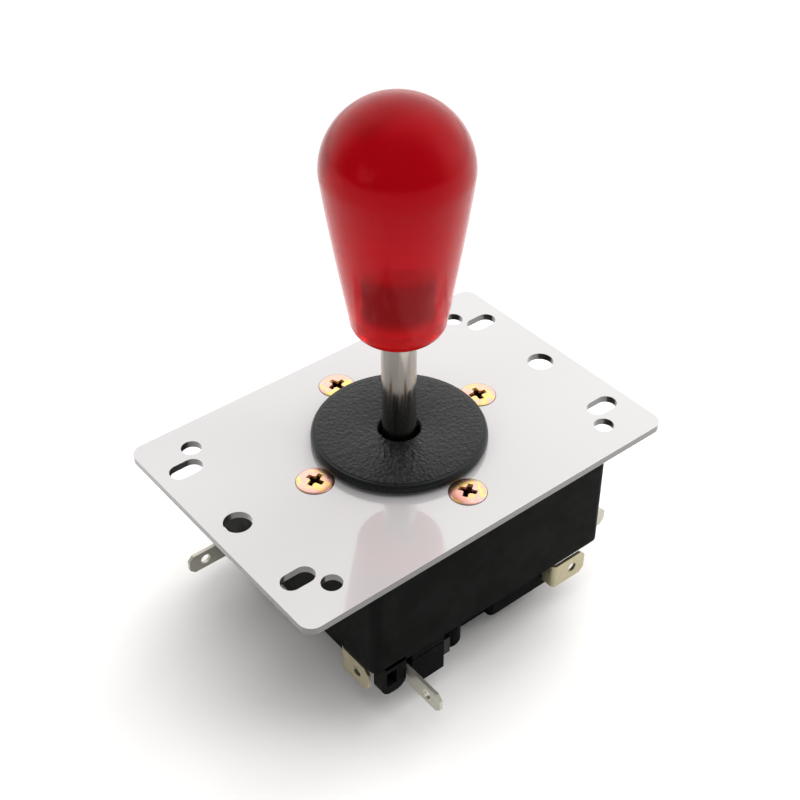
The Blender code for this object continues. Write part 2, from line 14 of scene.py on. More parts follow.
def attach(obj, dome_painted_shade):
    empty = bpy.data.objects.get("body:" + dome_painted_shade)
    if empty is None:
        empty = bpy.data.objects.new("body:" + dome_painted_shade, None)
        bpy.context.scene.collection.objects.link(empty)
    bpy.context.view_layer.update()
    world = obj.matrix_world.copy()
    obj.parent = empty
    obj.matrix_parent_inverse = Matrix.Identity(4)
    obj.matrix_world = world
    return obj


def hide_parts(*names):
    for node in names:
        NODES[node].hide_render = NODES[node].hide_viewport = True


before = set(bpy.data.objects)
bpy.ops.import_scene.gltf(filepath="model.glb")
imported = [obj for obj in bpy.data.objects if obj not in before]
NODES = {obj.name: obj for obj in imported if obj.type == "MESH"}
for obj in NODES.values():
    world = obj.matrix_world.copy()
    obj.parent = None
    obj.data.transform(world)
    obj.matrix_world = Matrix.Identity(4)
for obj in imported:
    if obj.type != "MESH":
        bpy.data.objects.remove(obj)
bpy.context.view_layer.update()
MM = 0.001
QUARTER = math.pi / 2
SIDES = ("front", "right", "back", "left")

# ---------------------------------------------------------------- sizes that several pieces share
PLATE_LOW = 40.4
PLATE_HIGH = 42.0
SCREW_LINE = 22.3
HOUSING_BASE = 16.4
POST_AT = (-4.5, -21.0)
POST_FOOT = 5.8
PEGS = ((6.6, 24.0), (24.9, 14.9))
GATE_THICK = 5.5
SWITCH_MID = 10.95
BLADE_HOLE = 1.2
BLADE_HALF = 0.4
OVERLAP = 1.0
SMOOTH_ANGLE = 32

# ---------------------------------------------------------------- camera, floor and light
TARGET = Vector((7.82, 9.49, 42.0)) * MM
BACK = Vector((-0.4822, -0.6041, 0.6344)).normalized()
DISTANCE = 0.3044
ROLL = math.radians(-0.39)
LENS = 61.97
SENSOR_WIDTH = 36.0
LIGHT_TARGET = Vector((0, 0, 30)) * MM
FLOOR_SIZE = 6.0
FLOOR_HEIGHT = -0.1 * MM
TENT_BACK = 1.6
TENT_FRONT = 0.14
TENT_FACING = (-0.80, -0.60, 0.0)


def make_camera():
    """Looks at the target from BACK, rolled a little about its own axis."""
    right = Vector((0, 0, 1)).cross(BACK).normalized()
    up = BACK.cross(right)
    turned_right = math.cos(ROLL) * right + math.sin(ROLL) * up
    turned_up = -math.sin(ROLL) * right + math.cos(ROLL) * up
    data = bpy.data.cameras.new("camera")
    data.lens = LENS
    data.sensor_width = SENSOR_WIDTH
    data.clip_start = 0.01
    camera = bpy.data.objects.new("camera", data)
    place = Matrix.Identity(4)
    for row in range(3):
        place[row][0] = turned_right[row]
        place[row][1] = turned_up[row]
        place[row][2] = BACK[row]
        place[row][3] = (TARGET + BACK * DISTANCE)[row]
    camera.matrix_world = place
    bpy.context.scene.collection.objects.link(camera)
    bpy.context.scene.camera = camera


def make_area(name, at, size, power):
    """An area light that lights the object and doesn't show in its gloss."""
    data = bpy.data.lights.new(name, "AREA")
    data.shape = "RECTANGLE"
    data.size, data.size_y = size
    data.energy = power
    light = bpy.data.objects.new(name, data)
    light.location = at
    aim = LIGHT_TARGET - Vector(at)
    light.rotation_euler = aim.to_track_quat("-Z", "Y").to_euler()
    light.visible_glossy = False
    bpy.context.scene.collection.objects.link(light)


def studio():
    """A bright tent behind and above the object that darkens towards the camera's side."""
    world = bpy.data.worlds.new("studio")
    world.use_nodes = True
    tree = world.node_tree
    coords = tree.nodes.new("ShaderNodeTexCoord")
    facing = tree.nodes.new("ShaderNodeVectorMath")
    facing.operation = "DOT_PRODUCT"
    facing.inputs[1].default_value = TENT_FACING
    tree.links.new(coords.outputs["Generated"], facing.inputs[0])
    fade = tree.nodes.new("ShaderNodeMapRange")
    fade.interpolation_type = "SMOOTHSTEP"
    tree.links.new(facing.outputs["Value"], fade.inputs["Value"])
    fade.inputs["From Min"].default_value = -0.35
    fade.inputs["From Max"].default_value = 0.40
    fade.inputs["To Min"].default_value = TENT_BACK
    fade.inputs["To Max"].default_value = TENT_FRONT
    back = tree.nodes["Background"]
    back.inputs["Color"].default_value = (1.0, 0.99, 0.975, 1)
    tree.links.new(fade.outputs["Result"], back.inputs["Strength"])
    return world


def make_stage():
    scene = bpy.context.scene
    scene.view_settings.view_transform = "Standard"
    scene.cycles.max_bounces = 16
    scene.cycles.transmission_bounces = 12
    scene.cycles.caustics_refractive = True
    scene.world = studio()
    bpy.ops.mesh.primitive_plane_add(size=FLOOR_SIZE, location=(0, 0, FLOOR_HEIGHT))
    floor = bpy.context.object
    floor.name = "floor"
    floor.data.materials.append(floor_material())
    make_area("key", (0.85, 0.30, 1.0), (0.7, 0.7), 5.4)
    make_area("side", (0.95, -0.75, 0.75), (0.6, 0.6), 3.2)
    make_area("top", (0.0, -0.25, 1.3), (1.0, 1.0), 5.6)
    make_area("left", (-1.1, -0.1, 0.40), (0.5, 0.4), 2.8)


# ---------------------------------------------------------------- material helpers
class Nodes:
    """A short way to build one Principled material's node tree."""

    def __init__(self, name, color=(0.8, 0.8, 0.8), roughness=0.5, metallic=0.0):
        self.material = bpy.data.materials.new(name)
        self.material.use_nodes = True
        self.tree = self.material.node_tree
        self.shader = self.tree.nodes["Principled BSDF"]
        self.set("Base Color", (*color, 1.0))
        self.set("Roughness", roughness)
        self.set("Metallic", metallic)
        self.coords = self.tree.nodes.new("ShaderNodeTexCoord")

    def set(self, socket, value):
        self.shader.inputs[socket].default_value = value

    def link(self, out, into):
        self.tree.links.new(out, into)

    def to(self, socket, out):
        self.link(out, self.shader.inputs[socket])

    def position(self, scale=(1, 1, 1)):
        """Object coordinates in millimetres, stretched by scale."""
        node = self.tree.nodes.new("ShaderNodeMapping")
        node.inputs["Scale"].default_value = [s * 1000 for s in scale]
        self.link(self.coords.outputs["Object"], node.inputs["Vector"])
        return node.outputs["Vector"]

    def axis(self, letter):
        node = self.tree.nodes.new("ShaderNodeSeparateXYZ")
        self.link(self.position(), node.inputs[0])
        return node.outputs[letter]

    def normal_z(self):
        node = self.tree.nodes.new("ShaderNodeSeparateXYZ")
        self.link(self.coords.outputs["Normal"], node.inputs[0])
        return node.outputs["Z"]

    def noise(self, size, detail=3.0, rough=0.55, stretch=(1, 1, 1), distortion=0.0):
        """Noise whose features are about size millimetres across."""
        node = self.tree.nodes.new("ShaderNodeTexNoise")
        node.inputs["Scale"].default_value = 1.0 / size
        node.inputs["Detail"].default_value = detail
        node.inputs["Roughness"].default_value = rough
        node.inputs["Distortion"].default_value = distortion
        self.link(self.position(stretch), node.inputs["Vector"])
        return node.outputs["Fac"]

    def cells(self, size):
        node = self.tree.nodes.new("ShaderNodeTexVoronoi")
        node.inputs["Scale"].default_value = 1.0 / size
        self.link(self.position(), node.inputs["Vector"])
        return node.outputs["Distance"]

    def math(self, operation, a, b=None):
        node = self.tree.nodes.new("ShaderNodeMath")
        node.operation = operation
        for index, value in enumerate((a, b)):
            if value is None:
                continue
            if isinstance(value, (int, float)):
                node.inputs[index].default_value = value
            else:
                self.link(value, node.inputs[index])
        return node.outputs[0]

    def remap(self, value, low, high, out_low=0.0, out_high=1.0):
        """A smooth step of value from low to high, as a number from out_low to out_high."""
        node = self.tree.nodes.new("ShaderNodeMapRange")
        node.interpolation_type = "SMOOTHSTEP"
        self.link(value, node.inputs["Value"])
        node.inputs["From Min"].default_value = low
        node.inputs["From Max"].default_value = high
        node.inputs["To Min"].default_value = out_low
        node.inputs["To Max"].default_value = out_high
        return node.outputs["Result"]

    def mix(self, factor, first, second):
        """A colour between first and second, each a colour or a socket."""
        node = self.tree.nodes.new("ShaderNodeMix")
        node.data_type = "RGBA"
        self.link(factor, node.inputs[0])
        for index, value in ((6, first), (7, second)):
            if isinstance(value, tuple):
                node.inputs[index].default_value = (*value, 1.0)
            else:
                self.link(value, node.inputs[index])
        return node.outputs[2]

    def bump(self, height, depth_mm, strength=1.0):
        node = self.tree.nodes.new("ShaderNodeBump")
        node.inputs["Strength"].default_value = strength
        node.inputs["Distance"].default_value = depth_mm * MM
        self.link(height, node.inputs["Height"])
        self.to("Normal", node.outputs["Normal"])


def floor_material():
    m = Nodes("floor_paper", (0.93, 0.925, 0.915), 0.75)
    m.to("Base Color", m.mix(m.noise(60, 2), (0.925, 0.92, 0.91), (0.94, 0.935, 0.925)))
    return m.material


def red_plastic():
    m = Nodes("red_plastic", (0.40, 0.002, 0.006), 0.04)
    m.set("Transmission Weight", 0.58)
    m.set("Specular IOR Level", 0.12)
    m.set("Subsurface Weight", 0.7)
    m.set("Subsurface Radius", (0.006, 0.0003, 0.0003))
    m.set("Subsurface Scale", 1.0)
    m.set("IOR", 1.49)
    m.set("Specular Tint", (1.0, 0.14, 0.17, 1.0))
    # Painted light in the base colour: the foot is painted bright red as a glow of light shining
    # through it, and the dome is painted darker towards the top as shade.
    height = m.math("ADD", m.axis("Z"), m.math("MULTIPLY", m.noise(9, 2), 2.0))
    dome_painted_shade = m.mix(m.remap(height, 90, 110), (0.47, 0.0025, 0.007), (0.36, 0.0015, 0.005))
    m.to("Base Color", m.mix(m.remap(height, 74.5, 80.0), (0.90, 0.012, 0.014), dome_painted_shade))
    m.to("Roughness", m.remap(m.noise(4, 4), 0.3, 0.7, 0.08, 0.12))
    m.bump(m.noise(3.5, 2), 0.02, 0.15)
    return m.material


def insert_metal():
    m = Nodes("insert_metal", (0.10, 0.07, 0.05), 0.45, 0.6)
    flake = m.remap(m.noise(0.7, 3, stretch=(1, 1, 0.35)), 0.55, 0.68)
    metal = m.mix(flake, (0.06, 0.04, 0.035), (0.01, 0.008, 0.008))
    height = m.axis("Z")
    # The red bands at both ends of the insert stand for the handle's resin, and are painted bright as
    # a glow of light shining through the red handle.
    resin_and_painted_glow = m.math("ADD", m.remap(height, 74.8, 78.0, 1.0, 0.0), m.remap(height, 85.2, 87.6))
    m.to("Base Color", m.mix(resin_and_painted_glow, metal, (0.85, 0.010, 0.018)))
    m.to("Metallic", m.math("SUBTRACT", 0.6, m.math("MULTIPLY", resin_and_painted_glow, 0.6)))
    m.bump(m.noise(0.6, 2), 0.1, 0.5)
    return m.material


def polished_steel():
    m = Nodes("polished_steel", (0.66, 0.64, 0.61), 0.16, 1.0)
    streak = m.noise(0.8, 4, stretch=(1, 1, 0.04))
    m.to("Base Color", m.mix(streak, (0.38, 0.355, 0.315), (0.52, 0.49, 0.44)))
    m.to("Roughness", m.remap(streak, 0.3, 0.7, 0.10, 0.24))
    m.bump(m.noise(0.35, 2, stretch=(0.05, 0.05, 1)), 0.01, 0.12)
    return m.material


def plain_steel(name="plain_steel", color=(0.50, 0.49, 0.47), roughness=0.34):
    m = Nodes(name, color, roughness, 1.0)
    stain = m.noise(2.5, 5)
    dark = tuple(0.72 * c for c in color)
    m.to("Base Color", m.mix(stain, dark, color))
    m.to("Roughness", m.remap(m.noise(0.6, 3), 0.3, 0.7, roughness - 0.08, roughness + 0.12))
    m.bump(m.noise(0.25, 3), 0.02, 0.3)
    return m.material


def white_paint():
    """Gloss paint on both faces; the cut edges and hole walls are bare grey metal."""
    m = Nodes("white_paint", (0.50, 0.49, 0.495), 0.22)
    facing = m.math("ABSOLUTE", m.normal_z())
    painted = m.remap(facing, 0.35, 0.75)
    shade = m.mix(m.noise(26, 3), (0.465, 0.457, 0.464), (0.49, 0.482, 0.489))
    grain = m.mix(m.noise(0.5, 3, stretch=(1, 1, 4)), (0.06, 0.057, 0.055), (0.15, 0.146, 0.143))
    m.to("Base Color", m.mix(painted, grain, shade))
    m.to("Metallic", m.remap(facing, 0.35, 0.75, 0.75, 0.0))
    m.to("Roughness", m.remap(facing, 0.35, 0.75, 0.45, 0.20))
    m.set("Coat Weight", 1.0)
    m.set("Coat IOR", 1.8)
    m.set("Coat Roughness", 0.02)
    m.bump(m.noise(2.2, 2), 0.003, 0.3)
    return m.material


def zinc_yellow():
    """Yellow-passivated zinc: pink and gold patches, and painted shade that darkens the recess."""
    m = Nodes("zinc_yellow", (0.9, 0.7, 0.45), 0.36, 1.0)
    patch = m.remap(m.noise(2.6, 2, distortion=0.8), 0.47, 0.60)
    colour = m.mix(patch, (0.88, 0.50, 0.42), (0.90, 0.66, 0.22))
    colour = m.mix(m.remap(m.noise(1.7, 3), 0.55, 0.75), colour, (0.80, 0.56, 0.62))
    # Painted shade: below about 42.1 mm the colour turns dark brown, darkening the cross recess and
    # the lower edge of the head.
    recess_painted_shade = m.remap(m.axis("Z"), 41.75, 42.12, 1.0, 0.0)
    m.to("Base Color", m.mix(recess_painted_shade, colour, (0.055, 0.022, 0.012)))
    m.to("Roughness", m.remap(m.noise(0.8, 3), 0.3, 0.7, 0.30, 0.44))
    m.bump(m.noise(0.4, 3), 0.01, 0.3)
    return m.material


def washer_plastic():
    """Black plastic with a fine leather grain on its flat top, and a smooth bevel."""
    m = Nodes("washer_plastic", (0.008, 0.0095, 0.0095), 0.28)
    m.set("Specular IOR Level", 0.22)
    worm = m.noise(1.3, 3.5, 0.6, distortion=1.6)
    pit = m.cells(0.9)
    height = m.math("ADD", worm, m.math("MULTIPLY", pit, 0.55))
    x, y = m.axis("X"), m.axis("Y")
    radius = m.math("SQRT", m.math("ADD", m.math("MULTIPLY", x, x), m.math("MULTIPLY", y, y)))
    inside = m.remap(radius, 17.6, 18.0, 1.0, 0.0)
    flat = m.math("MULTIPLY", inside, m.remap(m.normal_z(), 0.8, 0.97))
    m.bump(m.math("MULTIPLY", height, flat), 0.26, 0.9)
    m.to("Base Color", m.mix(m.noise(0.9, 3), (0.006, 0.0075, 0.0075), (0.011, 0.013, 0.013)))
    m.to("Roughness", m.remap(m.noise(1.2, 3), 0.3, 0.7, 0.24, 0.34))
    return m.material


def black_plastic(name, dark, light, roughness, grain=0.28):
    m = Nodes(name, dark, roughness)
    m.set("Specular IOR Level", 0.012)
    m.to("Base Color", m.mix(m.remap(m.noise(7, 4), 0.35, 0.7), dark, light))
    m.to("Roughness", m.remap(m.noise(2.4, 4), 0.3, 0.7, roughness - 0.07, roughness + 0.09))
    m.bump(m.noise(grain, 3), 0.012, 0.5)
    return m.material


def blade_metal(name, light, dark, roughness=0.3):
    m = Nodes(name, light, roughness, 0.85)
    m.to("Base Color", m.mix(m.noise(1.8, 4), dark, light))
    m.to("Roughness", m.remap(m.noise(0.5, 4), 0.3, 0.7, roughness - 0.06, roughness + 0.14))
    m.bump(m.noise(0.4, 3), 0.015, 0.35)
    return m.material


def nylon(name="nylon", color=(0.74, 0.73, 0.68), roughness=0.42):
    m = Nodes(name, color, roughness)
    m.set("Subsurface Weight", 0.15)
    m.set("Subsurface Radius", (0.001, 0.001, 0.0008))
    pale = tuple(min(1.0, 1.06 * c) for c in color)
    m.to("Base Color", m.mix(m.noise(3, 3), color, pale))
    m.to("Roughness", m.remap(m.noise(0.8, 3), 0.3, 0.7, roughness - 0.06, roughness + 0.1))
    m.bump(m.noise(0.3, 2), 0.01, 0.3)
    return m.material


def felt():
    m = Nodes("felt", (0.045, 0.045, 0.045), 0.95)
    m.set("Sheen Weight", 0.3)
    fuzz = m.noise(0.18, 5, 0.7, distortion=0.6)
    m.to("Base Color", m.mix(fuzz, (0.02, 0.02, 0.02), (0.08, 0.08, 0.078)))
    m.bump(fuzz, 0.12, 0.9)
    return m.material


RED = red_plastic()
INSERT = insert_metal()
STEEL = polished_steel()
PLAIN = plain_steel()
DARK = plain_steel("dark_steel", (0.05, 0.05, 0.05), 0.6)
SPRING = plain_steel("spring_steel", (0.36, 0.36, 0.37), 0.3)
PAINT = white_paint()
ZINC = zinc_yellow()
WASHER = washer_plastic()
HOUSING = black_plastic(
    "housing_plastic", (0.0045, 0.0048, 0.0045), (0.0075, 0.0079, 0.0075), 0.36
)
SWITCH = black_plastic(
    "switch_plastic", (0.003, 0.003, 0.0032), (0.006, 0.006, 0.0064), 0.3, grain=0.2
)
COMMON = blade_metal("common_blade", (0.62, 0.60, 0.53), (0.44, 0.425, 0.36), 0.34)
OPEN = blade_metal("open_blade", (0.53, 0.48, 0.33), (0.41, 0.365, 0.235), 0.36)
NYLON = nylon()
RED_NYLON = nylon("plunger_nylon", (0.42, 0.03, 0.02))
FELT = felt()


# ---------------------------------------------------------------- shape helpers
def add_mesh(name, mesh, material):
    obj = bpy.data.objects.new(name, mesh)
    bpy.context.scene.collection.objects.link(obj)
    mesh.materials.clear()
    mesh.materials.append(material)
    return obj


def mesh_of(bm, name, angle=SMOOTH_ANGLE):
    bmesh.ops.recalc_face_normals(bm, faces=bm.faces)
    mesh = bpy.data.meshes.new(name)
    bm.to_mesh(mesh)
    bm.free()
    mesh.shade_smooth()
    mesh.set_sharp_from_angle(angle=math.radians(angle))
    return mesh


def lathe(name, profile, material, segments, closed=False, at=(0, 0), angle=SMOOTH_ANGLE):
    """A profile of (radius, height) turned round the Z axis through at."""
    bm = bmesh.new()
    rings = []
    for radius, height in profile:
        count = 1 if radius < 1e-6 else segments
        ring = []
        for k in range(count):
            turn = 2 * math.pi * k / segments
            spot = (at[0] + radius * math.cos(turn), at[1] + radius * math.sin(turn), height)
            ring.append(bm.verts.new(Vector(spot) * MM))
        rings.append(ring)
    pairs = list(zip(rings, rings[1:]))
    if closed:
        pairs.append((rings[-1], rings[0]))
    for upper, lower in pairs:
        for k in range(segments):
            n = (k + 1) % segments
            corners = [upper[k % len(upper)], upper[n % len(upper)]]
            corners += [lower[n % len(lower)], lower[k % len(lower)]]
            face = list(dict.fromkeys(corners))
            if len(face) > 2:
                bm.faces.new(face)
    return add_mesh(name, mesh_of(bm, name, angle), material)


def arc(centre, radius, start, end, steps):
    angles = [math.radians(start + (end - start) * i / steps) for i in range(steps + 1)]
    return [(centre[0] + radius * math.cos(a), centre[1] + radius * math.sin(a)) for a in angles]


def circle(x, y, radius, steps):
    return arc((x, y), radius, 0, 360, steps)[:-1]


def rounded_rectangle(half_x, half_y, radius, steps=12):
    points = []
    for sign_x, sign_y, start in ((1, 1, 0), (-1, 1, 90), (-1, -1, 180), (1, -1, 270)):
        centre = (sign_x * (half_x - radius), sign_y * (half_y - radius))
        points += arc(centre, radius, start, start + 90, steps)
    return points


def slot_loop(x, y, length, width, steps=20):
    half = (length - width) / 2
    right_end = arc((x + half, y), width / 2, -90, 90, steps)
    return right_end + arc((x - half, y), width / 2, 90, 270, steps)


def slab(name, loops, low, high, material, turn=None, at=None):
    """A flat outline with holes and a thickness from low to high, turned and moved if asked."""
    curve = bpy.data.curves.new(name, "CURVE")
    curve.dimensions = "2D"
    curve.fill_mode = "BOTH"
    curve.extrude = (high - low) / 2 * MM
    for loop in loops:
        spline = curve.splines.new("POLY")
        spline.points.add(len(loop) - 1)
        for point, (x, y) in zip(spline.points, loop):
            point.co = (x * MM, y * MM, 0.0, 1.0)
        spline.use_cyclic_u = True
    guide = bpy.data.objects.new(name, curve)
    bpy.context.scene.collection.objects.link(guide)
    mesh = bpy.data.meshes.new_from_object(
        guide.evaluated_get(bpy.context.evaluated_depsgraph_get())
    )
    bpy.data.objects.remove(guide)
    bm = bmesh.new()
    bm.from_mesh(mesh)
    bmesh.ops.remove_doubles(bm, verts=bm.verts, dist=0.000001)
    bmesh.ops.dissolve_limit(bm, angle_limit=0.001, verts=bm.verts, edges=bm.edges)
    place = Matrix.Translation((0, 0, (low + high) / 2 * MM))
    if turn is not None:
        place = Matrix.Translation(Vector(at) * MM) @ turn.to_4x4() @ place
    bmesh.ops.transform(bm, matrix=place, verts=bm.verts)
    return add_mesh(name, mesh_of(bm, name), material)


def box(name, low, high, material):
    outline = [(low[0], low[1]), (high[0], low[1]), (high[0], high[1]), (low[0], high[1])]
    return slab(name, [outline], low[2], high[2], material)


def round_edges(obj, width, angle=40):
    modifier = obj.modifiers.new("edges", "BEVEL")
    modifier.width = width * MM
    modifier.segments = 2
    modifier.limit_method = "ANGLE"
    modifier.angle_limit = math.radians(angle)
    modifier.harden_normals = True


def apply(obj):
    """Makes the object's modifiers part of its mesh."""
    graph = bpy.context.evaluated_depsgraph_get()
    mesh = bpy.data.meshes.new_from_object(obj.evaluated_get(graph))
    obj.modifiers.clear()
    obj.data = mesh


def combine(obj, others, operation):
    """Cuts the others from the object, or joins them to it, and removes them."""
    for other in others:
        modifier = obj.modifiers.new(other.name, "BOOLEAN")
        modifier.operation = operation
        modifier.object = other
        modifier.solver = "EXACT"
    apply(obj)
    for other in others:
        bpy.data.objects.remove(other)
    obj.data.shade_smooth()
    obj.data.set_sharp_from_angle(angle=math.radians(SMOOTH_ANGLE))


def shift(x, y, z):
    """A move by a distance in millimetres."""
    return Matrix.Translation((x * MM, y * MM, z * MM))


def turn_side(obj, side):
    """Turns a piece made for the front side to another side, in quarter turns."""
    obj.data.transform(Matrix.Rotation(QUARTER * side, 4, "Z"))
    return obj


def around(x, y, side):
    point = Matrix.Rotation(QUARTER * side, 2) @ Vector((x, y))
    return point.x, point.y


def stand_for(piece, node, dome_painted_shade):
    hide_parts(node)
    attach(piece, dome_painted_shade)


# ---------------------------------------------------------------- the stick and its handle
def handle():
    top, widest, radius, base = 121.6, 107.0, 14.85, 70.4
    neck, fillet = 9.95, 3.6
    profile = [
        (radius * math.sin(a), widest + (top - widest) * math.cos(a))
        for a in (QUARTER * i / 36 for i in range(37))
    ]
    foot_top = base + fillet
    for i in range(1, 41):
        part = i / 40
        profile.append(
            (radius - (radius - neck) * part**1.14, widest + (foot_top - widest) * part)
        )
    profile += arc((neck - fillet, foot_top), fillet, 0, -90, 14)[1:]
    profile += [(3.72, base), (3.72, base + 0.3), (0, base + 0.3)]
    bat = lathe("handle_bat", profile, RED, 160, angle=60)
    stand_for(bat, "bat_top_handle", "stick")

    knurl = [(0, 88.0), (3.7, 88.0), (4.3, 87.4)]
    for height in (81.6, 79.8):
        knurl += [(4.3, height), (3.9, height - 0.4), (3.9, height - 0.9), (4.3, height - 1.3)]
    knurl += [(4.3, 73.7), (4.0, 73.4), (3.15, 73.4), (3.15, 87.0), (0, 87.0)]
    insert = lathe("threaded_insert", knurl, INSERT, 64)
    stand_for(insert, "handle_insert", "stick")


def stick():
    profile = [
        (0, 85.5), (2.5, 85.5), (3.0, 85.0), (3.0, 72.6), (3.3, 72.6), (3.7, 72.2),
        (3.7, 14.9), (3.55, 14.7), (3.1, 14.7), (3.1, 7.15), (2.4, 7.15), (2.4, 6.45),
        (3.1, 6.45), (3.1, 1.8), (2.5, 1.2), (0, 1.2),
    ]
    rod = lathe("stick_rod", profile, STEEL, 96)
    stand_for(rod, "shaft", "stick")


def washer():
    profile = [(4.5, 44.35), (4.62, 44.6), (4.85, 44.7), (18.2, 44.7)]
    profile += [(18.42, 44.64), (18.62, 44.46), (18.85, 44.0), (18.97, 43.4), (19.0, 43.1)]
    profile += [(18.92, 42.9), (18.7, 42.8), (4.7, 42.8), (4.5, 43.0)]
    disc = lathe("washer_disc", profile, WASHER, 160, closed=True, angle=50)
    stand_for(disc, "dust_washer", "washer")


# ---------------------------------------------------------------- the plate and its screws
def plate():
    loops = [rounded_rectangle(47.625, 32.5, 3.0), circle(0, 0, 7.6, 72)]
    for sx in (-1, 1):
        for sy in (-1, 1):
            loops.append(slot_loop(sx * 41.0, sy * 20.0, 7.5, 4.5))
            loops.append(circle(sx * 36.6, sy * 25.0, 2.2, 40))
        loops.append(circle(sx * 41.4, 0, 3.0, 48))
    sheet = slab("plate_sheet", loops, PLATE_LOW, PLATE_HIGH, PAINT)
    sinks = []
    cone = [(0, PLATE_HIGH + 0.2), (4.28, PLATE_HIGH + 0.2), (2.6, 40.2), (0, 40.2)]
    for side in range(4):
        at = around(0, -SCREW_LINE, side)
        sinks.append(lathe(f"sink_{side}", cone, PAINT, 48, at=at))
    combine(sheet, sinks, "DIFFERENCE")
    round_edges(sheet, 0.14)
    stand_for(sheet, "mounting_plate", "base")


def recess_cutter(name, x, y, turn, crown):
    """A cross that narrows as it goes down, with rounded inner corners."""
    outline = []
    for quarter in range(4):
        tip, half = 2.0, 0.62
        corner = [(tip, -half), (tip + 0.1, 0), (tip, half), (1.15, 0.47), (0.72, 0.72)]
        spin = Matrix.Rotation(QUARTER * quarter + turn, 2)
        outline += [tuple(spin @ Vector(point)) for point in corner]
    bm = bmesh.new()
    rows = []
    for height, scale in ((crown + 0.4, 1.12), (crown - 0.9, 0.72), (crown - 1.9, 0.3)):
        row = [
            bm.verts.new(Vector((x + px * scale, y + py * scale, height)) * MM)
            for px, py in outline
        ]
        rows.append(row)
    for upper, lower in zip(rows, rows[1:]):
        for k in range(len(outline)):
            n = (k + 1) % len(outline)
            bm.faces.new([upper[k], upper[n], lower[n], lower[k]])
    bm.faces.new(rows[0])
    bm.faces.new(rows[-1])
    return add_mesh(name, mesh_of(bm, name), ZINC)


def plate_screws():
    crown = PLATE_HIGH + 0.5
    turns = {"front": 32, "right": -14, "back": 8, "left": 18}
    for side, name in enumerate(SIDES):
        x, y = around(0, -SCREW_LINE, side)
        profile = [
            (0, crown), (1.4, crown - 0.02), (2.5, crown - 0.09), (3.4, crown - 0.22),
            (3.85, crown - 0.34), (3.96, 42.06), (3.98, 41.98), (3.92, 41.9), (2.0, 40.5),
            (2.0, 31.5), (1.5, 31.0), (0, 31.0),
        ]
        screw = lathe(f"screw_{name}", profile, ZINC, 56, at=(x, y), angle=40)
        cutter = recess_cutter(f"recess_{name}", x, y, math.radians(turns[name]), crown)
        combine(screw, [cutter], "DIFFERENCE")
        stand_for(screw, f"plate_screw_{name}", "base")


# ---------------------------------------------------------------- the housing and gate
def housing():
    """The block under the plate, with its well, nut pockets, posts, pegs and two corner lugs."""
    outline = rounded_rectangle(31.7, 31.7, 2.4, 10)
    shell = slab("housing_shell", [outline, circle(0, 0, 7.0, 64)], HOUSING_BASE, 40.1, HOUSING)
    cuts = [lathe("well", [(0, 42), (16, 42), (16, 21), (0, 21)], HOUSING, 72)]
    joins = []
    root = HOUSING_BASE + OVERLAP
    bolt = [(0, 42), (2.3, 42), (2.3, 30.5), (0, 30.5)]
    post = [(0, root), (3.3, root), (3.3, POST_FOOT), (0, POST_FOOT)]
    peg = [(0, root), (1.3, root), (1.3, 8.7), (1.0, 8.4), (0, 8.4)]
    for side in range(4):
        at = around(0, -SCREW_LINE, side)
        cuts.append(lathe(f"bolt_{side}", bolt, HOUSING, 24, at=at))
        pocket = box(f"pocket_{side}", (-3.8, -26.2, 33.1), (3.8, -15.0, 36.5), HOUSING)
        cuts.append(turn_side(pocket, side))
        at = around(*POST_AT, side)
        joins.append(lathe(f"post_{side}", post, HOUSING, 40, at=at))
        for k, (along, out) in enumerate(PEGS):
            at = around(along, -out, side)
            joins.append(lathe(f"peg_{side}_{k}", peg, HOUSING, 20, at=at))
    lug = [(3.1, root)] + arc((0.7, 11.2), 2.4, 0, -90, 8)
    lug += arc((-0.7, 11.2), 2.4, -90, -180, 8) + [(-3.1, root)]
    window = [(-1.85, 11.2), (0.75, 11.2), (0.75, 15.3), (-1.85, 15.3)]
    upright = Matrix.Rotation(QUARTER, 3, "X")
    corner = (-27.05, -30.3, 0)
    for side in (0, 2):
        ear = slab(f"lug_{side}", [lug, window], -1.4, 1.4, HOUSING, turn=upright, at=corner)
        joins.append(turn_side(ear, side))
    combine(shell, cuts, "DIFFERENCE")
    combine(shell, joins, "UNION")
    round_edges(shell, 0.22, angle=50)
    stand_for(shell, "housing", "base")


def gate():
    """The square restrictor plate, with a screw ear under each post."""
    outline = rounded_rectangle(21.5, 21.5, 2.5, 10)
    opening = rounded_rectangle(7.0, 7.0, 2.4, 10)
    sheet = slab("gate_sheet", [outline, opening], 0, GATE_THICK, HOUSING)
    joins, cuts = [], []
    ear = [(0, GATE_THICK), (3.7, GATE_THICK), (3.7, 0), (0, 0)]
    head = [(0, 6), (1.4, 6), (1.4, 2.4), (2.7, 2.4), (2.7, -0.5), (0, -0.5)]
    for side in range(4):
        at = around(*POST_AT, side)
        joins.append(lathe(f"ear_{side}", ear, HOUSING, 48, at=at))
        cuts.append(lathe(f"counterbore_{side}", head, HOUSING, 40, at=at))
    combine(sheet, joins, "UNION")
    combine(sheet, cuts, "DIFFERENCE")
    round_edges(sheet, 0.25, angle=50)
    stand_for(sheet, "restrictor_plate", "base")


